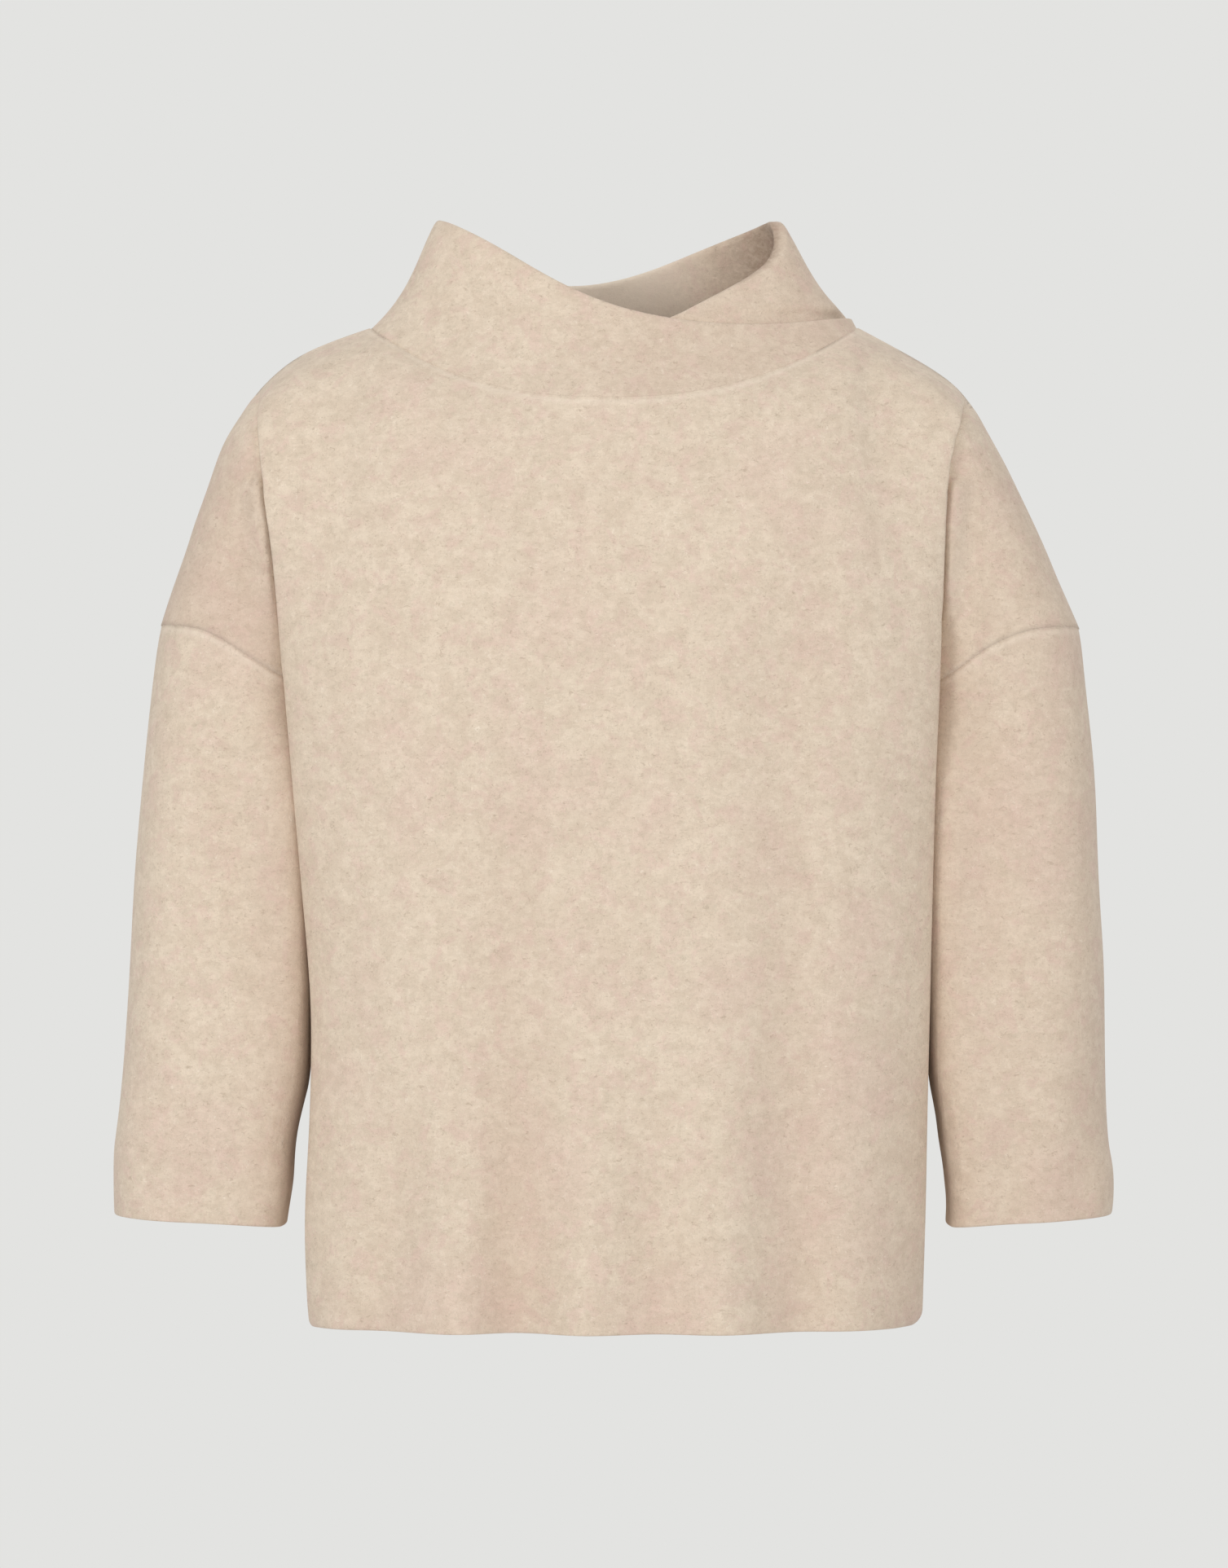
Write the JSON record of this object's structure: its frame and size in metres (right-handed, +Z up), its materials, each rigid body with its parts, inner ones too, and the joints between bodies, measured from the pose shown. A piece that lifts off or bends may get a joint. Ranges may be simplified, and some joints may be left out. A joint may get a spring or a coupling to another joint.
{
  "type": "sweater",
  "caption": "Boxy drop-shoulder sweater in felted wool with three-quarter sleeves and a wide crossover funnel collar, filled out and open at neck, hem and cuffs",
  "frame": {"origin": "Middle of the neck base, level with the shoulder points at the neck, where the wearer's neck and shoulders hold the sweater", "axes": "+X to the wearer's left, -Y to the front, +Z up"},
  "size_m": [0.6026, 0.2471, 0.6632],
  "materials": {
    "wool": "matt brushed felt"
  },
  "bodies": {
    "root": {"front": "wool", "back": "wool", "sleeve_right": "wool", "sleeve_left": "wool", "collar": "wool"}
  },
  "joints": []
}
